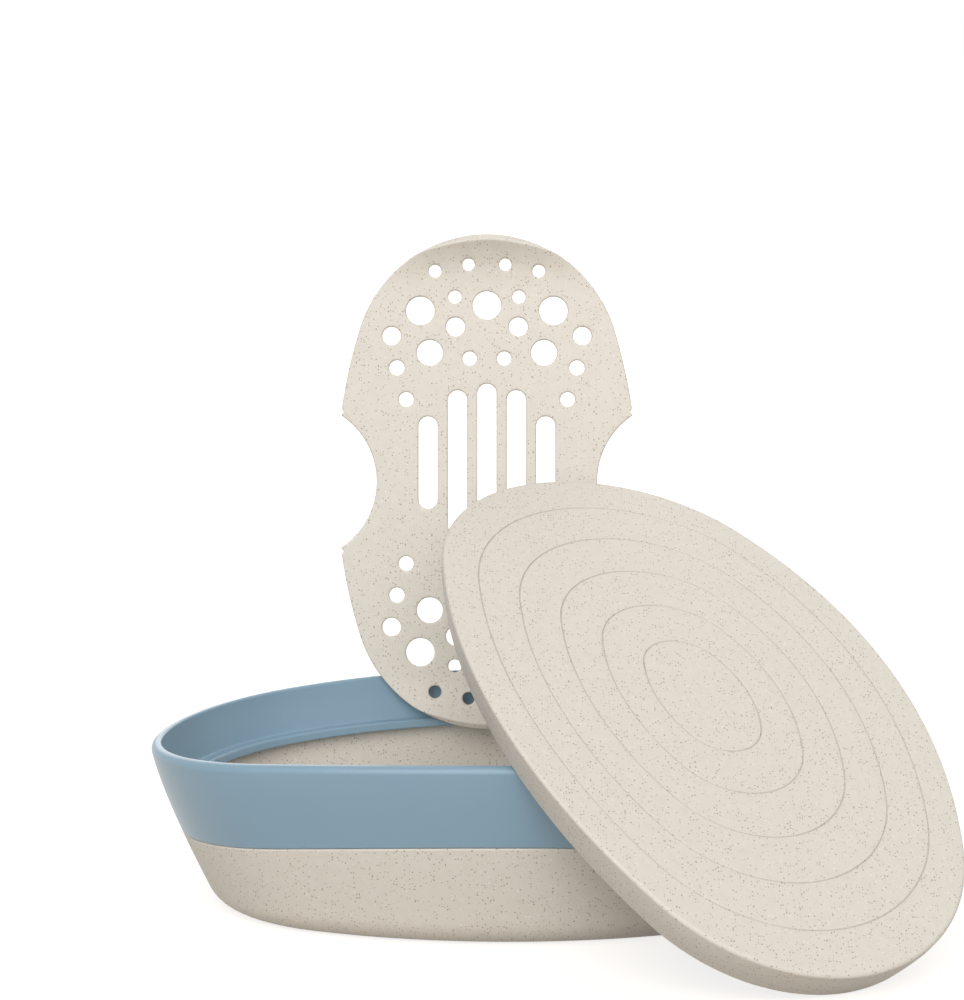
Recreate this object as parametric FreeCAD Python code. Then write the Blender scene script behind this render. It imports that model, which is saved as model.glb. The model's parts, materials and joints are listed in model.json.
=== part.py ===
import FreeCAD, Part
import math
import os

from FreeCAD import Placement, Rotation, Vector

# Travel soap box, taken apart: base, sealing band, drain insert and lid.
# Millimetres, +Z up. The origin is the middle of the base's foot, on the table.

# Box plan and height
box_length = 128.8
box_width = 86.0
rim_height = 33.5        # at the middle of the long sides
arch_drop = 4.5          # the rim is this much lower at the two ends
end_fullness = 0.86      # end radius of every oval, as a share of its half width

# Flared wall of the base
foot_length = 105.0
foot_width = 69.6
flare_power = 1.25       # 1 is a straight flare, more is a rounder bowl
wall = 2.6
floor_thickness = 2.4
foot_round = 6.0

# Sealing band
band_height = 14.75      # outside, at the middle of the long sides
band_arch_drop = 6.3     # fall of the band's lower edge from the middle to the ends
band_skin = 1.1          # band thickness outside the neck of the base
band_fit = 0.05
rim_width = 2.0
rim_round = 1.4          # outer edge of the rim
lip_round = 0.5          # its inner edge, at the mouth of the recess
recess_depth = 8.0       # from the rim down to the ledge
plug_taper = 3.0         # how much narrower recess and lid get, on each side, down to the ledge
ledge_width = 0.3        # the ledge reaches this much further in than rim and taper together
ledge_thickness = 1.7

# Lid, which plugs into the recess and stops on the ledge
lid_clearance = 0.3
lid_wall = 2.2
lid_top = 2.2
lid_round = 1.2
ripple_count = 5
ripple_edge = 9.0        # lid's end to the outermost ripple groove
ripple_core = 14.0       # half length of the innermost ripple
ripple_width = 0.5
ripple_depth = 0.25

# Drain insert, which stands on its curled ends on the floor of the base
insert_end_clearance = 2.9
insert_side_clearance = 3.6
insert_fullness = 0.885
insert_thickness = 1.6
curl_reach = 10.5        # how much of each end is curled, along the plate
curl_drop = 4.5          # how far the tip stands off the plate
scallop_radius = 15.1
scallop_depth = 7.6
grille_radius = 15.0
grille_shift = 3.6       # the grille sits this far above the middle of the plate
slot_width = 3.6
slot_bar = 2.0           # plate left between two slots
# Drain holes of one quarter: place across and along as shares of the half plate, diameter
drain_holes = [
    (0.000, 0.713, 5.4), (0.345, 0.851, 2.4), (0.122, 0.877, 2.3), (0.443, 0.691, 5.4),
    (0.213, 0.747, 2.5), (0.634, 0.589, 3.5), (0.209, 0.626, 3.6), (0.380, 0.521, 4.9),
    (0.115, 0.498, 2.7), (0.599, 0.460, 2.9), (0.537, 0.332, 2.8),
]

# How the loose pieces stand
rest_gap = 0.3
lid_slope = 33.1         # fall of the lid's long axis, in degrees
lid_heading = -60.2      # where its low end points, in degrees from +X
lid_side = 33.5          # X of the lid's middle
insert_lean = 8.5        # backward lean of the insert, in degrees
insert_side = -3.8       # X of the insert's middle
insert_tuck = 9.7        # its lower tip stands this far below the rim

# Values that follow
half_length = box_length / 2
half_width = box_width / 2
end_height = rim_height - arch_drop
end_flare = (box_length - foot_length) / 2
side_flare = (box_width - foot_width) / 2
trim = 3.0               # how far cutting solids overshoot
levels = 6               # ovals that each wall is lofted through
settle_steps = 30
settle_error = 0.005
near_range = 2.0         # within this gap a piece moves the whole way at once
ledge_height = rim_height - recess_depth
neck_height = ledge_height - ledge_thickness
seam_height = rim_height - band_height


def oval_wire(half_long, half_wide, fullness, inset, z):
    """Four tangent arcs; an inset keeps the arc centres, so the outline stays parallel."""
    end_radius = fullness * half_wide
    reach = half_long - end_radius
    side_radius = (reach**2 + half_wide**2 - end_radius**2) / (2 * (half_wide - end_radius))
    turn = math.atan2(side_radius - half_wide, reach)
    x = reach + (end_radius - inset) * math.cos(turn)
    y = (end_radius - inset) * math.sin(turn)
    tip = half_long - inset
    crown = half_wide - inset
    stations = [(x, -y), (tip, 0), (x, y), (0, crown), (-x, y), (-tip, 0), (-x, -y), (0, -crown), (x, -y)]
    points = [Vector(px, py, z) for px, py in stations]
    arcs = [Part.Arc(*points[i:i + 3]).toShape() for i in range(0, 8, 2)]
    return Part.Wire(arcs)


def wall_section(z, inset):
    """Outline of the flared wall at one height, moved inwards by the inset."""
    end_share = max(0.0, end_height - z) / end_height
    side_share = max(0.0, rim_height - z) / rim_height
    long_half = half_length - end_flare * end_share**flare_power
    wide_half = half_width - side_flare * side_share**flare_power
    return oval_wire(long_half, wide_half, end_fullness, inset, z)


def wall_solid(inset, bottom):
    """Solid inside the flared wall, from the bottom height to above the rim."""
    top = rim_height + trim
    heights = [bottom + (top - bottom) * i / (levels - 1) for i in range(levels)]
    return Part.makeLoft([wall_section(z, inset) for z in heights], True)


def plug_solid(inset):
    """Solid inside the tapered recess, which the lid fills, moved inwards by the inset."""
    bottom = ledge_height - arch_drop - trim
    sections = []
    for i in range(levels):
        z = bottom + (rim_height + trim - bottom) * i / (levels - 1)
        end_share = max(0.0, end_height - z) / recess_depth
        side_share = max(0.0, rim_height - z) / recess_depth
        long_half = half_length - plug_taper * end_share**flare_power
        wide_half = half_width - plug_taper * side_share**flare_power
        sections.append(oval_wire(long_half, wide_half, end_fullness, inset, z))
    return Part.makeLoft(sections, True)


def under_arch(height, drop):
    """Everything below a surface that arches along the box, highest in the middle."""
    reach = half_length + trim
    radius = (half_length**2 + drop**2) / (2 * drop)
    side = height - radius + math.sqrt(radius**2 - reach**2)
    front = -half_width - trim
    corners = [Vector(reach, front, side), Vector(reach, front, -trim),
               Vector(-reach, front, -trim), Vector(-reach, front, side)]
    edges = [Part.makeLine(corners[i], corners[i + 1]) for i in range(3)]
    edges.append(Part.Arc(corners[3], Vector(0, front, height), corners[0]).toShape())
    return Part.Face(Part.Wire(edges)).extrude(Vector(0, -2 * front, 0))


def edges_on_arch(shape, height, drop):
    """Edges that lie all along the arch of the given height."""
    radius = (half_length**2 + drop**2) / (2 * drop)
    found = []
    for edge in shape.Edges:
        spread = [edge.valueAt(edge.FirstParameter + s * (edge.LastParameter - edge.FirstParameter))
                  for s in (0.1, 0.5, 0.9)]
        if all(abs(math.hypot(p.x, p.z - height + radius) - radius) < 0.01 for p in spread):
            found.append(edge)
    return found


def make_base():
    """Bowl with a rounded foot and a thin neck that the band grips."""
    bowl = wall_solid(0.0, 0.0)
    foot_edges = [e for e in bowl.Edges if e.BoundBox.ZMax < 0.01]
    bowl = bowl.makeFillet(foot_round, foot_edges)
    cavity = wall_solid(wall, floor_thickness)
    floor_edges = [e for e in cavity.Edges if e.BoundBox.ZMax < floor_thickness + 0.01]
    cavity = cavity.makeFillet(foot_round - wall, floor_edges)
    neck = wall_solid(band_skin + band_fit, floor_thickness).common(under_arch(neck_height, arch_drop))
    lower = bowl.common(under_arch(seam_height, band_arch_drop))
    return lower.fuse(neck).cut(cavity).removeSplitter()


def make_band():
    """Soft ring: outer skin, rounded rim, recess for the lid and the ledge below it."""
    ring = wall_solid(0.0, 0.0).common(under_arch(rim_height, arch_drop))
    ring = ring.cut(under_arch(seam_height + band_fit, band_arch_drop))
    neck_room = wall_solid(band_skin, 0.0).common(under_arch(neck_height + band_fit, arch_drop))
    ring = ring.makeFillet(rim_round, edges_on_arch(ring, rim_height, arch_drop))
    recess = plug_solid(rim_width).cut(under_arch(ledge_height, arch_drop))
    mouth = wall_solid(rim_width + plug_taper + ledge_width, 0.0)
    ring = ring.cut(neck_room).cut(recess).cut(mouth).removeSplitter()
    inside = plug_solid((rim_round + rim_width) / 2)
    lip = [e for e in edges_on_arch(ring, rim_height, arch_drop) if inside.isInside(e.CenterOfMass, 0.01, False)]
    return ring.makeFillet(lip_round, lip)


def make_lid():
    """Arched plug lid, hollow underneath, with ripple grooves that follow its outline."""
    inset = rim_width + lid_clearance
    body = plug_solid(inset).common(under_arch(rim_height, arch_drop))
    body = body.cut(under_arch(ledge_height + lid_clearance, arch_drop))
    body = body.makeFillet(lid_round, edges_on_arch(body, rim_height, arch_drop))
    hollow = plug_solid(inset + lid_wall).common(under_arch(rim_height - lid_top, arch_drop))
    return body.cut(hollow)


def ripple_cutters():
    """Rings standing on the lowered arch, one for each ripple groove of the lid."""
    long_half = half_length - rim_width - lid_clearance
    wide_half = half_width - rim_width - lid_clearance
    lowered = under_arch(rim_height - ripple_depth, arch_drop)
    pitch = (long_half - ripple_edge - ripple_core) / (ripple_count - 1)
    up = Vector(0, 0, rim_height + trim)
    cutters = []
    for i in range(ripple_count):
        reach = ripple_core + i * pitch
        across = wide_half * reach / long_half
        outside = Part.Face(oval_wire(reach, across, end_fullness, 0.0, 0.0)).extrude(up)
        inside = Part.Face(oval_wire(reach, across, end_fullness, ripple_width, 0.0)).extrude(up)
        cutters.append(outside.cut(inside).cut(lowered))
    return cutters


def insert_blank(long_half, wide_half):
    """Oval plate with both ends curled, lying flat with its long axis along Y."""
    bend = 2 * math.atan2(curl_drop, curl_reach)
    radius = curl_reach / math.sin(bend)
    flat = long_half - curl_reach

    def side_line(offset):
        """One face of the bent strip, seen from its side, from end to end."""
        r = radius - offset
        mid = Vector(-wide_half, flat + r * math.sin(bend / 2), radius - r * math.cos(bend / 2))
        tip = Vector(-wide_half, flat + r * math.sin(bend), radius - r * math.cos(bend))
        start = Vector(-wide_half, flat, offset)
        return start, mid, tip

    def mirrored(point):
        return Vector(point.x, -point.y, point.z)

    near = side_line(insert_thickness)
    far = side_line(0.0)
    edges = [Part.Arc(*far).toShape(), Part.makeLine(far[2], near[2]), Part.Arc(*reversed(near)).toShape(),
             Part.makeLine(near[0], mirrored(near[0])), Part.Arc(*[mirrored(p) for p in near]).toShape(),
             Part.makeLine(mirrored(near[2]), mirrored(far[2])),
             Part.Arc(*[mirrored(p) for p in reversed(far)]).toShape(), Part.makeLine(mirrored(far[0]), far[0])]
    strip = Part.Face(Part.Wire(edges)).extrude(Vector(2 * wide_half, 0, 0))

    oval = oval_wire(long_half, wide_half, insert_fullness, 0.0, -trim)
    oval.rotate(Vector(0, 0, 0), Vector(0, 0, 1), 90)
    return Part.Face(oval).extrude(Vector(0, 0, curl_drop + insert_thickness + 2 * trim)).common(strip)


def insert_cutters(long_half, wide_half):
    """Finger scallops, drain holes and the grille, cut straight through the plate."""
    low = -trim
    tall = curl_drop + insert_thickness + 2 * trim
    cutters = []
    for side in (-1, 1):
        middle = side * (wide_half + scallop_radius - scallop_depth)
        cutters.append(Part.makeCylinder(scallop_radius, tall, Vector(middle, 0, low)))
    for across, along, diameter in drain_holes:
        places = {(sx * across * wide_half, sy * along * long_half) for sx in (-1, 1) for sy in (-1, 1)}
        cutters += [Part.makeCylinder(diameter / 2, tall, Vector(x, y, low)) for x, y in sorted(places)]
    return cutters + grille_slots(low, tall)


def grille_slots(low, tall):
    """Upright slots with round ends that fill a circle."""
    slots = []
    pitch = slot_width + slot_bar
    reach = int((grille_radius - slot_width) / pitch)
    for i in range(-reach, reach + 1):
        x = i * pitch
        half = math.sqrt((grille_radius - slot_width / 2)**2 - x**2)
        ends = [Part.makeCylinder(slot_width / 2, tall, Vector(x, grille_shift + s * half, low)) for s in (-1, 1)]
        bar = Part.makeBox(slot_width, 2 * half, tall, Vector(x - slot_width / 2, grille_shift - half, low))
        slots.append(bar.fuse(ends).removeSplitter())
    return slots


def placed(shape, placement):
    moved = shape.copy()
    moved.Placement = placement.multiply(shape.Placement)
    return moved


def lowest(shape):
    return shape.optimalBoundingBox(False, False).ZMin


def settle(shape, target, way, start):
    """Moves from the start along the way until the shape stands the rest gap off the target."""
    travel = start
    for _ in range(settle_steps):
        here = placed(shape, Placement(way * travel, Rotation()))
        distance, pairs, _info = here.distToShape(target)
        excess = distance - rest_gap
        if abs(excess) < settle_error:
            break
        towards = pairs[0][1] - pairs[0][0]
        slant = towards.dot(way) / distance if distance > settle_error else 1.0
        near = excess < near_range and slant > 0.1
        travel += excess / slant if near else excess
    print("settled at", round(travel, 3), "gap", round(distance, 3))
    return Placement(way * travel, Rotation())


def lean_lid(lid, rim):
    """Low end on the table, underside on the rim of the band."""
    turn = Rotation(Vector(0, 0, 1), lid_heading).multiply(Rotation(Vector(0, 1, 0), lid_slope))
    to_middle = Placement(Vector(0, 0, -rim_height), Rotation())
    posed = Placement(Vector(lid_side, 0, 0), turn).multiply(to_middle)
    lift = Placement(Vector(0, 0, rest_gap - lowest(placed(lid, posed))), Rotation())
    posed = lift.multiply(posed)
    slide = settle(placed(lid, posed), rim, Vector(0, 1, 0), -half_width - rim_height)
    return slide.multiply(posed)


def stand_insert(plate, rim):
    """Upright with its hollow side to the front, back against the rim of the band."""
    turn = Rotation(Vector(1, 0, 0), 90 - insert_lean)
    posed = Placement(Vector(insert_side, 0, 0), turn)
    lift = Placement(Vector(0, 0, rim_height - insert_tuck - lowest(placed(plate, posed))), Rotation())
    posed = lift.multiply(posed)
    slide = settle(placed(plate, posed), rim, Vector(0, 1, 0), 0.0)
    return slide.multiply(posed)


def main():
    base = make_base()
    band = make_band()
    rim = Part.makeCompound([f for f in band.Faces if f.CenterOfMass.z > end_height - rim_round])

    lid = make_lid()
    lid_place = lean_lid(lid, rim)
    lid = lid.cut(ripple_cutters()).removeSplitter()

    insert_halves = (foot_length / 2 - wall - insert_end_clearance, foot_width / 2 - wall - insert_side_clearance)
    insert = insert_blank(*insert_halves)
    insert_place = stand_insert(insert, rim)
    insert = insert.cut(insert_cutters(*insert_halves)).removeSplitter()

    pieces = {
        "base_shell": base,
        "seal_band": band,
        "lid": placed(lid, lid_place),
        "drain_insert": placed(insert, insert_place),
    }
    os.makedirs("parts", exist_ok=True)
    for name, shape in pieces.items():
        print(name, "solids", len(shape.Solids), "valid", shape.isValid(), "volume", round(shape.Volume, 1))
        shape.exportStep("parts/" + name + ".step")


main()
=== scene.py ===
import json
import math

import bmesh
import bpy
from mathutils import Matrix, Vector
from mathutils.geometry import delaunay_2d_cdt
from mathutils.kdtree import KDTree


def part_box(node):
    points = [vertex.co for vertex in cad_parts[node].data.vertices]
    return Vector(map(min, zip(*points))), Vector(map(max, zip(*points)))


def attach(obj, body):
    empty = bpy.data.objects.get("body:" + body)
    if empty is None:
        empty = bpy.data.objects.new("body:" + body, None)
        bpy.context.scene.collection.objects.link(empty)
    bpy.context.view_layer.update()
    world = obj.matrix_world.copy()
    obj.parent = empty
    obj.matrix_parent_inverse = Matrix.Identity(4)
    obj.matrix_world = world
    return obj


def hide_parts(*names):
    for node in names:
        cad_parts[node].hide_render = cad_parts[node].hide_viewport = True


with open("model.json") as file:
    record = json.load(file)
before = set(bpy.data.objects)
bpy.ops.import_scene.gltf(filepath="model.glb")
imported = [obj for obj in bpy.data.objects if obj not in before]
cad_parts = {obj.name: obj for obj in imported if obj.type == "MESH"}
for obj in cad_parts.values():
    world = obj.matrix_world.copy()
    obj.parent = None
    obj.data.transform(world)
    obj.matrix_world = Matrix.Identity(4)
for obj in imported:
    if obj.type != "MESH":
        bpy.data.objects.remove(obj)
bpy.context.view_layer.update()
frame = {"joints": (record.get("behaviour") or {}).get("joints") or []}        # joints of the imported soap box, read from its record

mm = 0.001               # shapes are worked out in millimetres, meshes are in metres
normalWeight = 60        # how strongly the large faces set the shading
samePoint = 1e-4         # mm within which two points of an outline are one

# Oval plan and flared wall that base, band and lid all follow
plan = dict(
    halfLength=64.4, halfWidth=43.0, rimHeight=33.5,
    archDrop=4.5,        # the rim is this much lower at the two ends
    fullness=0.86,       # end radius as a share of the half width
    footHalfLength=52.5, footHalfWidth=34.8, flarePower=1.25,
    recessDepth=8.0, plugTaper=3.0,                      # recess and lid get narrower down to the ledge
    endSteps=76, sideSteps=46, archSteps=5)


def ovalPoint(step, halfLong, halfWide, fullness, inset):
    half = plan["endSteps"] + plan["sideSteps"]
    if step >= half:                                     # second half of the oval: turned by 180 degrees
        return tuple(-v for v in ovalPoint(step - half, halfLong, halfWide, fullness, inset))
    endRadius = fullness * halfWide
    reach = halfLong - endRadius
    sideRadius = (reach**2 + halfWide**2 - endRadius**2) / (2 * (halfWide - endRadius))
    turn = math.atan2(sideRadius - halfWide, reach)
    if step < plan["endSteps"]:
        angle = turn * (2 * step / plan["endSteps"] - 1)
        centreX, centreY, radius = reach, 0.0, endRadius
    else:
        angle = turn + (math.pi - 2 * turn) * (step - plan["endSteps"]) / plan["sideSteps"]
        centreX, centreY, radius = 0.0, halfWide - sideRadius, sideRadius
    outX, outY = math.cos(angle), math.sin(angle)
    return centreX + (radius - inset) * outX, centreY + (radius - inset) * outY, outX, outY


def archHeight(x, height, drop):
    if not drop:
        return height
    radius = (plan["halfLength"]**2 + drop**2) / (2 * drop)
    return height - radius + math.sqrt(radius**2 - x**2)


def wallPoint(step, inset, height, drop, plug=0.0):
    # where the wall, moved in by the inset, meets the arch of that height and drop
    # plug 0 is the flared outside of the box, 1 the taper of recess and lid
    endHeight = plan["rimHeight"] - plan["archDrop"]
    z = height
    for _ in range(plan["archSteps"] if drop else 1):
        endDepth, sideDepth = max(0.0, endHeight - z), max(0.0, plan["rimHeight"] - z)
        endShare = (endDepth / endHeight)**plan["flarePower"]
        sideShare = (sideDepth / plan["rimHeight"])**plan["flarePower"]
        endPlug = plan["plugTaper"] * (endDepth / plan["recessDepth"])**plan["flarePower"]
        sidePlug = plan["plugTaper"] * (sideDepth / plan["recessDepth"])**plan["flarePower"]
        endFlare = (plan["halfLength"] - plan["footHalfLength"]) * endShare
        sideFlare = (plan["halfWidth"] - plan["footHalfWidth"]) * sideShare
        halfLong = plan["halfLength"] - endFlare - (endPlug - endFlare) * plug
        halfWide = plan["halfWidth"] - sideFlare - (sidePlug - sideFlare) * plug
        x, y, outX, outY = ovalPoint(step, halfLong, halfWide, plan["fullness"], inset)
        z = archHeight(x, height, drop)
    return Vector((x, y, z)), Vector((outX, outY, 0.0))


def ringSteps():
    return range(2 * (plan["endSteps"] + plan["sideSteps"]))


def wallRing(inset, height, drop, plug=0.0):
    return [wallPoint(step, inset, height, drop, plug)[0] for step in ringSteps()]


def footRing(inset, floorHeight, radius, share):
    # rounding between a flat floor and the flared wall: share 0 lies on the floor, 1 on the wall
    ring = []
    for step in ringSteps():
        low, out = wallPoint(step, inset, floorHeight, 0.0)
        high, _ = wallPoint(step, inset, floorHeight + radius / 2, 0.0)
        lean = math.atan2((high - low).dot(out), radius / 2)
        centre = low - out * radius * math.tan((math.pi / 2 - lean) / 2) + Vector((0, 0, radius))
        angle = -math.pi / 2 + share * (math.pi / 2 - lean)
        ring.append(centre + out * radius * math.cos(angle) + Vector((0, 0, radius * math.sin(angle))))
    return ring


def roundedProfile(corners, closed, stretch=2.0, bends=6):
    # corners: (inset, height, drop, plug, rounding); gives the first four along the rounded outline
    points = []
    count = len(corners)
    for i, (inset, height, drop, plug, rounding) in enumerate(corners):
        here = Vector((inset, height))
        if not closed and i in (0, count - 1):
            points.append((inset, height, drop, plug))
            continue
        before, after = corners[i - 1], corners[(i + 1) % count]
        back = (Vector(before[:2]) - here).normalized()
        onward = (Vector(after[:2]) - here).normalized()
        halfAngle = math.acos(max(-1.0, min(1.0, back.dot(onward)))) / 2
        tangent = rounding / math.tan(halfAngle)
        centre = here + (back + onward).normalized() * rounding / math.sin(halfAngle)
        start, end = here + back * tangent - centre, here + onward * tangent - centre
        sweep = start.angle_signed(end)
        for k in range(bends + 1):
            spoke = start.copy()
            spoke.rotate(Matrix.Rotation(-sweep * k / bends, 2))
            points.append((centre.x + spoke.x, centre.y + spoke.y, drop, plug))
    filled = []
    for i, point in enumerate(points):                   # long straight runs get rings of their own
        filled.append(point)
        if i + 1 == len(points) and not closed:
            break
        nextPoint = points[(i + 1) % len(points)]
        run = math.dist(point[:2], nextPoint[:2])
        pieces = max(1, math.ceil(run / stretch))
        for k in range(1, pieces):
            filled.append(tuple(a + (b - a) * k / pieces for a, b in zip(point, nextPoint)))
    return filled


def loftRings(name, rings, closed, place=None):
    bm = bmesh.new()
    rows = [[bm.verts.new(p * mm) for p in ring] for ring in rings]
    pairs = list(zip(rows, rows[1:]))
    if closed:
        pairs.append((rows[-1], rows[0]))
    for lower, upper in pairs:
        for i in range(len(lower)):
            j = (i + 1) % len(lower)
            bm.faces.new((lower[i], lower[j], upper[j], upper[i]))
    if not closed:
        bm.faces.new(rows[0])
        bm.faces.new(rows[-1])
    return meshPiece(name, bm, place)


def meshPiece(name, bm, place=None):
    bmesh.ops.recalc_face_normals(bm, faces=bm.faces)
    if place:
        bm.transform(place)
    for face in bm.faces:
        face.smooth = True
    mesh = bpy.data.meshes.new(name)
    bm.to_mesh(mesh)
    bm.free()
    piece = bpy.data.objects.new(name, mesh)
    bpy.context.scene.collection.objects.link(piece)
    return piece


def dress(piece, node, body, material):
    low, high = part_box(node)
    corners = [v.co for v in piece.data.vertices]
    off = [max(abs(min(c[k] for c in corners) - low[k]), abs(max(c[k] for c in corners) - high[k])) / mm
           for k in range(3)]
    print(f"{piece.name}: {len(piece.data.polygons)} faces, box off by {max(off):.2f} mm")
    piece.data.materials.append(material)
    normals = piece.modifiers.new("evenShading", "WEIGHTED_NORMAL")
    normals.weight = normalWeight
    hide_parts(node)
    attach(piece, body)


def seatOn(piece, node):
    # moves the mesh so that its box has the same middle as the solid's
    low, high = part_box(node)
    corners = [v.co for v in piece.data.vertices]
    middle = Vector([(min(c[k] for c in corners) + max(c[k] for c in corners)) / 2 for k in range(3)])
    piece.data.transform(Matrix.Translation((low + high) / 2 - middle))


def linear(hexColour):
    parts = [int(hexColour[i:i + 2], 16) / 255 for i in (1, 3, 5)]
    return tuple(c / 12.92 if c <= 0.04045 else ((c + 0.055) / 1.055)**2.4 for c in parts) + (1.0,)


def addNode(tree, kind, inputs, **settings):
    node = tree.nodes.new(kind)
    for name, value in settings.items():
        setattr(node, name, value)
    for name, value in inputs.items():
        if isinstance(value, bpy.types.NodeSocket):
            tree.links.new(value, node.inputs[name])
        else:
            node.inputs[name].default_value = value
    return node


def newMaterial(name):
    material = bpy.data.materials.new(name)
    material.use_nodes = True
    tree = material.node_tree
    tree.nodes.clear()
    return material, tree


def finishSurface(tree, place, colour, s):
    # the fine grain of a mould's surface: uneven gloss and shallow bumps
    grain = addNode(tree, "ShaderNodeTexNoise", {
        "Vector": place, "Scale": 1 / (s["grainSize"] * mm), "Detail": s["grainDetail"]})
    roughness = addNode(tree, "ShaderNodeMapRange", {
        "Value": grain.outputs["Fac"], "To Min": s["roughness"] - s["roughnessSpread"],
        "To Max": s["roughness"] + s["roughnessSpread"]})
    bump = addNode(tree, "ShaderNodeBump", {
        "Height": grain.outputs["Fac"], "Strength": s["grainStrength"], "Distance": s["grainDepth"] * mm})
    shader = addNode(tree, "ShaderNodeBsdfPrincipled", {
        "Base Color": colour, "Roughness": roughness.outputs[0], "Normal": bump.outputs[0], "IOR": s["ior"]})
    addNode(tree, "ShaderNodeOutputMaterial", {"Surface": shader.outputs[0]})
    return shader


wheatPlastic = dict(
    ground="#e4ddd3", warmGround="#dad3c7",              # cream, a little warmer in patches
    husk="#62543f", bran="#8a785f", pale="#efeae2",
    huskCell=0.68, branCell=0.46, paleCell=0.7,          # mm between neighbouring flecks
    huskShare=0.6, branShare=0.75, paleShare=0.5,        # share of the cells that hold a fleck
    huskSize=0.2, branSize=0.42, paleSize=0.42,          # radius of the largest flecks, in cells
    huskCrisp=12.0, branCrisp=7.0, paleCrisp=2.5,        # how hard the edges of the flecks are
    branStrength=0.7, patchSize=1.6, patchDetail=3.0,
    grainSize=0.28, grainDetail=2.0, grainStrength=0.25, grainDepth=0.06,
    roughness=0.56, roughnessSpread=0.07, ior=1.49)
# painted shade: the fine grooves on the lid get a darker copy of the plastic, standing in for the shade
# inside them
paintedGrooveShade = dict(wheatPlastic, ground="#d3ccc0", warmGround="#c9c2b5")


def wheatStrawPolypropylene(nameSuffix, s):
    # matt cream plastic, sprinkled with brown husk specks, finer tan bran and a few pale flecks
    material, tree = newMaterial("wheatStrawPolypropylene" + nameSuffix)
    place = addNode(tree, "ShaderNodeTexCoord", {}).outputs["Object"]

    def flecks(kind):
        # one fleck in a share of the cells, each with its own size
        cells = addNode(tree, "ShaderNodeTexVoronoi", {"Vector": place, "Scale": 1 / (s[kind + "Cell"] * mm)})
        chance = addNode(tree, "ShaderNodeSeparateColor", {"Color": cells.outputs["Color"]})
        radius = addNode(tree, "ShaderNodeMapRange", {
            "Value": chance.outputs["Red"], "From Min": 1 - s[kind + "Share"], "From Max": 1.0,
            "To Min": 0.0, "To Max": s[kind + "Size"]})
        inside = addNode(tree, "ShaderNodeMath", {0: radius.outputs[0], 1: cells.outputs["Distance"]},
                         operation="SUBTRACT")
        edge = addNode(tree, "ShaderNodeMath", {0: inside.outputs[0], 1: s[kind + "Crisp"]},
                       operation="MULTIPLY", use_clamp=True)
        return edge.outputs[0], chance.outputs["Green"]

    def blendIn(under, over, share):
        mixed = addNode(tree, "ShaderNodeMix", {0: share, 6: under, 7: over}, data_type="RGBA")
        return mixed.outputs[2]

    patches = addNode(tree, "ShaderNodeTexNoise", {
        "Vector": place, "Scale": 1 / (s["patchSize"] * mm), "Detail": s["patchDetail"]})
    colour = blendIn(linear(s["ground"]), linear(s["warmGround"]), patches.outputs["Fac"])
    paleEdge, _ = flecks("pale")
    colour = blendIn(colour, linear(s["pale"]), paleEdge)
    branEdge, _ = flecks("bran")
    branFaint = addNode(tree, "ShaderNodeMath", {0: branEdge, 1: s["branStrength"]}, operation="MULTIPLY")
    colour = blendIn(colour, linear(s["bran"]), branFaint.outputs[0])
    huskEdge, huskTone = flecks("husk")
    huskColour = blendIn(linear(s["husk"]), linear(s["bran"]), huskTone)
    colour = blendIn(colour, huskColour, huskEdge)
    finishSurface(tree, place, colour, s)
    return material


softRubber = dict(
    blue="#88a5b7", deepBlue="#84a1b4", patchSize=14.0, patchDetail=2.0,
    grainSize=0.22, grainDetail=2.0, grainStrength=0.12, grainDepth=0.04,
    roughness=0.36, roughnessSpread=0.05, ior=1.46,
    coat=0.25, coatRoughness=0.28)                       # the smooth skin of the moulded elastomer


def thermoplasticElastomerMoulded():
    # soft satin grey blue, even in colour, with broad dim highlights on the rounded rim
    s = softRubber
    material, tree = newMaterial("thermoplasticElastomerMoulded")
    place = addNode(tree, "ShaderNodeTexCoord", {}).outputs["Object"]
    patches = addNode(tree, "ShaderNodeTexNoise", {
        "Vector": place, "Scale": 1 / (s["patchSize"] * mm), "Detail": s["patchDetail"]})
    colour = addNode(tree, "ShaderNodeMix", {
        0: patches.outputs["Fac"], 6: linear(s["blue"]), 7: linear(s["deepBlue"])}, data_type="RGBA")
    shader = finishSurface(tree, place, colour.outputs[2], s)
    shader.inputs["Coat Weight"].default_value = s["coat"]
    shader.inputs["Coat Roughness"].default_value = s["coatRoughness"]
    return material


plastic = wheatStrawPolypropylene("Moulded", wheatPlastic)
# painted shade: a darker copy of the plastic for the lid's grooves
grooveShadePlastic = wheatStrawPolypropylene("PaintedGrooveShade", paintedGrooveShade)
rubber = thermoplasticElastomerMoulded()
print("materials made")

# Heights that base, band and lid share
fit = dict(
    seamHeight=18.75, seamDrop=6.3, seamGap=0.05, ledgeHeight=25.5, neckHeight=23.8,
    skin=1.1, rimWidth=2.0, stepEdge=0.1)

base = dict(
    wall=2.6, floor=2.4, footRound=6.0, seamEdge=0.35, neckEdge=0.3, bends=8,
    wallStart=1.4)                                       # inner foot radii from the floor to the plain wall


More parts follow.
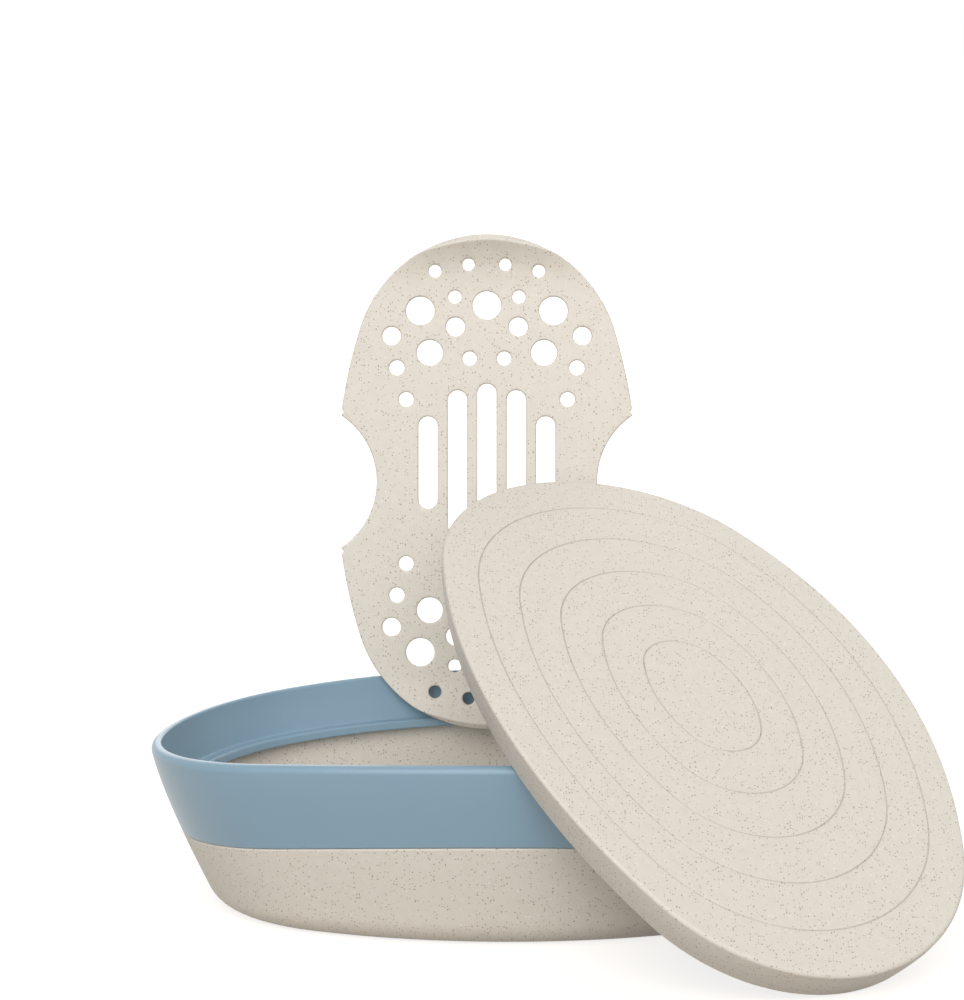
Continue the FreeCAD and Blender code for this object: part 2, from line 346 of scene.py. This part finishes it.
def buildBase():
    s = base
    innerRound = s["footRound"] - s["wall"]
    shares = [k / s["bends"] for k in range(s["bends"] + 1)]
    rings = [footRing(0.0, 0.0, s["footRound"], share) for share in shares]
    corners = [(0.0, s["footRound"], 0.0, 0.0, 0.0),
               (0.0, fit["seamHeight"], fit["seamDrop"], 0.0, s["seamEdge"]),
               (fit["skin"] + fit["seamGap"], fit["seamHeight"], fit["seamDrop"], 0.0, fit["stepEdge"]),
               (fit["skin"] + fit["seamGap"], fit["neckHeight"], plan["archDrop"], 0.0, fit["stepEdge"]),
               (s["wall"], fit["neckHeight"], plan["archDrop"], 0.0, s["neckEdge"]),
               (s["wall"], s["floor"] + s["wallStart"] * innerRound, 0.0, 0.0, 0.0)]
    rings += [wallRing(*p) for p in roundedProfile(corners, False)]
    rings += [footRing(s["wall"], s["floor"], innerRound, share) for share in reversed(shares)]
    return loftRings("base_shell_moulded", rings, False)


dress(buildBase(), "base_shell", "base", plastic)

band = dict(rimRound=1.4, lipRound=0.5, ledgeWidth=0.3, ledgeEdge=0.5, seamEdge=0.3, cornerRound=0.35)


def buildBand():
    s = band
    seam = fit["seamHeight"] + fit["seamGap"]
    under = fit["neckHeight"] + fit["seamGap"]
    ledge = fit["rimWidth"] + plan["plugTaper"] + s["ledgeWidth"]
    drop = plan["archDrop"]
    corners = [(0.0, seam, fit["seamDrop"], 0.0, s["seamEdge"]),
               (0.0, plan["rimHeight"], drop, 0.0, s["rimRound"]),
               (fit["rimWidth"], plan["rimHeight"], drop, 1.0, s["lipRound"]),
               (fit["rimWidth"], fit["ledgeHeight"], drop, 1.0, s["cornerRound"]),
               (ledge, fit["ledgeHeight"], drop, 0.0, s["ledgeEdge"]),
               (ledge, under, drop, 0.0, s["cornerRound"]),
               (fit["skin"], under, drop, 0.0, fit["stepEdge"]),
               (fit["skin"], seam, fit["seamDrop"], 0.0, fit["stepEdge"])]
    return loftRings("seal_band_moulded", [wallRing(*p) for p in roundedProfile(corners, True)], True)


dress(buildBand(), "seal_band", "base", rubber)

lid = dict(
    clearance=0.3, wall=2.2, top=2.2, edge=0.7, footEdge=0.4, innerEdge=0.8,
    rippleCount=5, rippleEdge=9.0, rippleCore=14.0, rippleWidth=0.3, rippleDepth=0.25, shelf=0.1,
    # a groove from side to side: share across, share of the depth
    grooveProfile=[(0.0, 0.08), (0.22, 0.65), (0.5, 1.0), (0.78, 0.65), (1.0, 0.08)],
    coreRings=4, betweenRipples=4, borderShares=(0.75, 0.5), ceilingRings=8)


def buildLid():
    s = lid
    inset = fit["rimWidth"] + s["clearance"]
    longHalf, wideHalf = plan["halfLength"] - inset, plan["halfWidth"] - inset
    drop, rim = plan["archDrop"], plan["rimHeight"]
    pitch = (longHalf - s["rippleEdge"] - s["rippleCore"]) / (s["rippleCount"] - 1)

    def topRing(reach, shift, depth):
        # oval of that half length, moved in by the shift and sunk below the arch
        ring = []
        for step in ringSteps():
            x, y, _, _ = ovalPoint(step, reach, wideHalf * reach / longHalf, plan["fullness"], shift)
            ring.append(Vector((x, y, archHeight(x, rim - depth, drop))))
        return ring

    groove = [(-s["shelf"], 0.0)]
    groove += [(across * s["rippleWidth"], depth * s["rippleDepth"]) for across, depth in s["grooveProfile"]]
    groove.append((s["rippleWidth"] + s["shelf"], 0.0))
    rings = [topRing(s["rippleCore"] * k / s["coreRings"], 0.0, 0.0) for k in range(1, s["coreRings"])]
    grooveRows = set()
    for i in range(s["rippleCount"]):
        reach = s["rippleCore"] + i * pitch
        grooveRows |= set(range(len(rings) + 1, len(rings) + len(groove) - 2))
        rings += [topRing(reach, shift, depth) for shift, depth in reversed(groove)]
        if i + 1 < s["rippleCount"]:
            rings += [topRing(reach + pitch * k / s["betweenRipples"], 0.0, 0.0)
                      for k in range(1, s["betweenRipples"])]
    rings += [topRing(longHalf - s["rippleEdge"] * share, 0.0, 0.0) for share in s["borderShares"]]

    foot = fit["ledgeHeight"] + s["clearance"]
    inner = inset + s["wall"]
    ceiling = rim - s["top"]
    corners = [(inset + 2 * s["edge"], rim, drop, 1.0, 0.0), (inset, rim, drop, 1.0, s["edge"]),
               (inset, foot, drop, 1.0, s["footEdge"]), (inner, foot, drop, 1.0, s["footEdge"]),
               (inner, ceiling, drop, 1.0, s["innerEdge"]), (inner + 2 * s["edge"], ceiling, drop, 1.0, 0.0)]
    rings += [wallRing(*p) for p in roundedProfile(corners, False)]
    innerReach = longHalf - s["wall"] - 2 * s["edge"]
    rings += [topRing(innerReach * k / s["ceilingRings"], 0.0, s["top"])
              for k in range(s["ceilingRings"] - 1, 0, -1)]

    normal = Vector(next(j for j in frame["joints"] if j["child"] == "lid")["axis"])
    heading, slope = math.atan2(normal.y, normal.x), math.acos(normal.z)
    piece = loftRings("lid_moulded", rings, False,
                      Matrix.Rotation(heading, 4, "Z") @ Matrix.Rotation(slope, 4, "Y"))
    for face in piece.data.polygons:                     # the grooves take the second material, the darker copy that paints shade into them
        if face.index // len(ringSteps()) in grooveRows:
            face.material_index = 1
    return piece


lidPiece = buildLid()
seatOn(lidPiece, "lid")
dress(lidPiece, "lid", "lid", plastic)
# the second material paints shade into the lid's grooves
lidPiece.data.materials.append(grooveShadePlastic)

insert = dict(
    halfLong=47.0, halfWide=28.6, fullness=0.885, thickness=1.6,
    curlReach=10.5, curlDrop=4.5, tipStart=0.6,          # how much of each end is curled, and how far
    scallopRadius=15.1, scallopDepth=7.6,
    grilleRadius=15.0, grilleShift=3.6, slotWidth=3.6, slotBar=2.0,
    edge=0.35, cornerRound=0.8, meshSize=1.6,
    cornerSteps=8, scallopSteps=26, slotSteps=16, edgeSteps=5,
    holeSteps=24, holeStride=0.42,                       # fewest steps round a hole, and mm of each step
    # drain holes of one quarter: share across, share along, diameter
    holes=[(0.000, 0.713, 5.4), (0.345, 0.851, 2.4), (0.122, 0.877, 2.3), (0.443, 0.691, 5.4),
           (0.213, 0.747, 2.5), (0.634, 0.589, 3.5), (0.209, 0.626, 3.6), (0.380, 0.521, 4.9),
           (0.115, 0.498, 2.7), (0.599, 0.460, 2.9), (0.537, 0.332, 2.8)])


def arcOf(centre, radius, start, end, steps, outward):
    # points of an arc with the direction that the edge faces, out of the plate
    arc = []
    for k in range(steps + 1):
        angle = start + (end - start) * k / steps
        spoke = Vector((math.cos(angle), math.sin(angle)))
        arc.append((centre + spoke * radius, spoke if outward else -spoke))
    return arc


def insertOutline():
    # the oval with a scallop in each long side, corners rounded, as points moved in by the corner radius
    s = insert
    inset = s["cornerRound"]
    scallop = Vector((s["halfWide"] + s["scallopRadius"] - s["scallopDepth"], 0.0))
    quarter = []
    for step in ringSteps():
        px, py, outX, outY = ovalPoint(step, s["halfLong"], s["halfWide"], s["fullness"], inset)
        point, out = Vector((py, px)), Vector((outY, outX))      # long axis along Y
        if point.x >= 0 and point.y >= 0 and (point - scallop).length > s["scallopRadius"] + inset:
            quarter.append((point, out))
    quarter.sort(key=lambda item: math.atan2(item[0].y, item[0].x))
    corner, out = quarter[0]
    inward = (scallop - corner).normalized()
    turn = math.atan2(out.y, out.x)
    facing = math.atan2(inward.y, inward.x)
    rounded = arcOf(corner, 0.0, facing, turn, s["cornerSteps"], True)
    first = math.atan2(corner.y, corner.x - scallop.x)
    notch = arcOf(scallop, s["scallopRadius"] + inset, math.pi, first, s["scallopSteps"], False)
    side = notch + rounded + quarter
    mirrored = [(Vector((-p.x, p.y)), Vector((-n.x, n.y))) for p, n in reversed(side)]
    upper = side + mirrored
    lower = [(Vector((p.x, -p.y)), Vector((n.x, -n.y))) for p, n in reversed(upper)]
    return tidyLoop(upper + lower)


def tidyLoop(points):
    # drops points that repeat the one before, in place and direction
    kept = []
    for point, out in points:
        if not kept or (point - kept[-1][0]).length > samePoint or (out - kept[-1][1]).length > samePoint:
            kept.append((point, out))
    if (kept[0][0] - kept[-1][0]).length < samePoint and (kept[0][1] - kept[-1][1]).length < samePoint:
        kept.pop()
    return kept


def holeOutline(centre, radius):
    s = insert
    steps = max(s["holeSteps"], int(2 * math.pi * radius / s["holeStride"]))
    return tidyLoop(arcOf(centre, radius + s["cornerRound"], 0.0, 2 * math.pi, steps, False))


def slotOutline(x, halfRun):
    s = insert
    radius = s["slotWidth"] / 2 + s["cornerRound"]
    top, low = Vector((x, s["grilleShift"] + halfRun)), Vector((x, s["grilleShift"] - halfRun))
    return tidyLoop(arcOf(top, radius, 0.0, math.pi, s["slotSteps"], False)
                    + arcOf(low, radius, math.pi, 2 * math.pi, s["slotSteps"], False))


def insertOutlines():
    s = insert
    loops = [insertOutline()]
    for across, along, diameter in s["holes"]:
        places = {(sx * across * s["halfWide"], sy * along * s["halfLong"])
                  for sx in (-1, 1) for sy in (-1, 1)}
        loops += [holeOutline(Vector(place), diameter / 2) for place in sorted(places)]
    pitch = s["slotWidth"] + s["slotBar"]
    reach = int((s["grilleRadius"] - s["slotWidth"]) / pitch)
    for i in range(-reach, reach + 1):
        halfRun = math.sqrt((s["grilleRadius"] - s["slotWidth"] / 2)**2 - (i * pitch)**2)
        loops.append(slotOutline(i * pitch, halfRun))
    return loops


def curled(x, y, depth):
    # the flat plate with its ends rolled up; depth is measured through the plate
    s = insert
    bend = 2 * math.atan2(s["curlDrop"], s["curlReach"])
    radius = s["curlReach"] / math.sin(bend)
    flat = s["halfLong"] - s["curlReach"]
    past = max(0.0, abs(y) - flat)
    tip = max(0.0, past / s["curlReach"] - s["tipStart"]) / (1 - s["tipStart"])
    past -= s["curlReach"] * depth / radius * tip**2 * (3 - 2 * tip)     # the tip is cut square to the bend
    along = math.copysign(flat + past, y) if past else y
    return Vector((x, along, radius - math.sqrt((radius - depth)**2 - past**2)))


def insideLoop(point, loop):
    # counts how often a line to the right of the point crosses the loop
    crossings = 0
    for a, b in zip(loop, loop[1:] + loop[:1]):
        if (a.y > point.y) != (b.y > point.y):
            crossings += point.x < a.x + (b.x - a.x) * (point.y - a.y) / (b.y - a.y)
    return crossings % 2 == 1


def buildInsert():
    s = insert
    loops = insertOutlines()
    edge, thick = s["edge"], s["thickness"]

    def moved(loop, inset):
        return [point + out * (s["cornerRound"] - inset) for point, out in loop]

    # flat faces: the outlines and a grid of points between them, joined into triangles
    flat, rims = [], []
    for loop in loops:
        rims.append((len(flat), len(loop)))
        flat += moved(loop, edge)
    tree = KDTree(len(flat))
    for i, point in enumerate(flat):
        tree.insert(point.to_3d(), i)
    tree.balance()
    rows = int(s["halfLong"] / s["meshSize"]) + 1
    columns = int(s["halfWide"] / s["meshSize"]) + 1
    grid = [Vector((i * s["meshSize"], j * s["meshSize"])) for i in range(-columns, columns + 1)
            for j in range(-rows, rows + 1)]
    points = flat + [p for p in grid if tree.find(p.to_3d())[2] > s["meshSize"] / 2]
    links = [(start + i, start + (i + 1) % count) for start, count in rims for i in range(count)]
    made = delaunay_2d_cdt(points, links, [], 1, 1e-6)      # 1: keep what lies inside
    places, origins = made[0], made[3]
    openings = [moved(loop, edge) for loop in loops[1:]]

    def inOpening(triangle):
        middle = sum((places[i] for i in triangle), Vector((0, 0))) / 3
        return any(insideLoop(middle, loop) for loop in openings)

    triangles = [t for t in made[2] if not inOpening(t)]

    bm = bmesh.new()
    faces = {}
    for side, depth in (("near", thick), ("far", 0.0)):
        used = {}
        for triangle in triangles:
            corners = []
            for i in triangle:
                if i not in used:
                    used[i] = bm.verts.new(curled(places[i].x, places[i].y, depth) * mm)
                corners.append(used[i])
            bm.faces.new(corners)
        faces[side] = {origin: used[i] for i in used for origin in origins[i]}

    # rounded edges of the plate and of every opening
    angles = [math.pi / 2 * k / s["edgeSteps"] for k in range(1, s["edgeSteps"] + 1)]
    arc = [(edge * (1 - math.sin(a)), edge * (1 - math.cos(a))) for a in angles]
    profile = [(inset, thick - drop) for inset, drop in arc]
    profile += [(inset, drop) for inset, drop in reversed(arc)]
    for loop, (start, count) in zip(loops, rims):
        rowsOf = [[faces["near"][start + i] for i in range(count)]]
        for inset, depth in profile:
            rowsOf.append([bm.verts.new(curled(p.x, p.y, depth) * mm) for p in moved(loop, inset)])
        rowsOf.append([faces["far"][start + i] for i in range(count)])
        for upper, lower in zip(rowsOf, rowsOf[1:]):
            for i in range(count):
                j = (i + 1) % count
                bm.faces.new((upper[i], upper[j], lower[j], lower[i]))
    axis = Vector(next(j for j in frame["joints"] if j["child"] == "insert")["axis"])
    lean = math.atan2(axis.y, axis.z)
    return meshPiece("drain_insert_moulded", bm, Matrix.Rotation(math.pi / 2 - lean, 4, "X"))


insertPiece = buildInsert()
seatOn(insertPiece, "drain_insert")
dress(insertPiece, "drain_insert", "insert", plastic)

studio = dict(
    skyBelow=0.16, skyAbove=0.42, keyStrength=1.95, fillStrength=0.42, backStrength=0.9,
    keyAngle=60.0, fillAngle=90.0, backAngle=60.0,       # how broad each light looks, in degrees
    keyTurn=(60.0, 0.0, -12.0), fillTurn=(62.0, 0.0, 40.0), backTurn=(66.0, 0.0, 170.0),
    floorReach=6.0, floorColour="#b4aea5", floorGlow=0.76, whiteFrom=0.16, whiteAt=0.5)


def seenDirectly(tree):
    # 1 for the camera and for what mirrors or lets through the view
    path = addNode(tree, "ShaderNodeLightPath", {})
    total = addNode(tree, "ShaderNodeMath", {
        0: path.outputs["Is Camera Ray"], 1: path.outputs["Is Glossy Ray"]}, operation="ADD")
    total = addNode(tree, "ShaderNodeMath", {0: total.outputs[0], 1: path.outputs["Is Transmission Ray"]},
                    operation="ADD", use_clamp=True)
    return total.outputs[0]


def buildStudio():
    s = studio
    scene = bpy.context.scene
    world = bpy.data.worlds.new("whiteStudio")
    scene.world = world
    world.use_nodes = True
    tree = world.node_tree
    tree.nodes.clear()
    direction = addNode(tree, "ShaderNodeTexCoord", {}).outputs["Generated"]
    height = addNode(tree, "ShaderNodeSeparateXYZ", {"Vector": direction}).outputs["Z"]
    dome = addNode(tree, "ShaderNodeMapRange", {"Value": height, "From Min": -1.0, "From Max": 1.0,
                                                "To Min": s["skyBelow"], "To Max": s["skyAbove"]})
    strength = addNode(tree, "ShaderNodeMapRange", {"Value": seenDirectly(tree), "To Min": dome.outputs[0],
                                                    "To Max": 1.0})
    sky = addNode(tree, "ShaderNodeBackground", {"Color": (1, 1, 1, 1), "Strength": strength.outputs[0]})
    addNode(tree, "ShaderNodeOutputWorld", {"Surface": sky.outputs[0]})

    for name in ("key", "fill", "back"):
        lamp = bpy.data.lights.new(name + "Light", "SUN")
        lamp.energy = s[name + "Strength"]
        lamp.angle = math.radians(s[name + "Angle"])
        holder = bpy.data.objects.new(name + "Light", lamp)
        holder.rotation_euler = [math.radians(v) for v in s[name + "Turn"]]
        scene.collection.objects.link(holder)

    bm = bmesh.new()
    bmesh.ops.create_grid(bm, x_segments=1, y_segments=1, size=s["floorReach"])
    floor = meshPiece("studio_floor", bm)
    material, tree = newMaterial("paperSweepWhite")
    matt = addNode(tree, "ShaderNodeBsdfDiffuse", {"Color": linear(s["floorColour"])})
    spot = addNode(tree, "ShaderNodeTexCoord", {}).outputs["Object"]
    away = addNode(tree, "ShaderNodeVectorMath", {0: spot}, operation="LENGTH")
    fade = addNode(tree, "ShaderNodeMapRange", {
        "Value": away.outputs["Value"], "From Min": s["whiteFrom"], "From Max": s["whiteAt"],
        "To Min": s["floorGlow"], "To Max": 1.0})
    glow = addNode(tree, "ShaderNodeMath", {0: fade.outputs[0], 1: seenDirectly(tree)}, operation="MULTIPLY")
    light = addNode(tree, "ShaderNodeEmission", {"Color": (1, 1, 1, 1), "Strength": glow.outputs[0]})
    both = addNode(tree, "ShaderNodeAddShader", {0: matt.outputs[0], 1: light.outputs[0]})
    addNode(tree, "ShaderNodeOutputMaterial", {"Surface": both.outputs[0]})
    floor.data.materials.append(material)

    scene.view_settings.view_transform = "Standard"
    print("studio lit")


buildStudio()

view = dict(place=(-4.74, -627.4, 166.75), lookDown=8.54, focalPixels=3555.0, frameHeight=1000.0, sensor=36.0)


def buildCamera():
    s = view
    lens = bpy.data.cameras.new("photoCamera")
    lens.sensor_fit = "VERTICAL"
    lens.sensor_height = s["sensor"]
    lens.lens = s["sensor"] * s["focalPixels"] / s["frameHeight"]
    camera = bpy.data.objects.new("photoCamera", lens)
    camera.location = Vector(s["place"]) * mm
    camera.rotation_euler = (math.radians(90 - s["lookDown"]), 0.0, 0.0)
    bpy.context.scene.collection.objects.link(camera)
    bpy.context.scene.camera = camera
    print("camera set")


buildCamera()
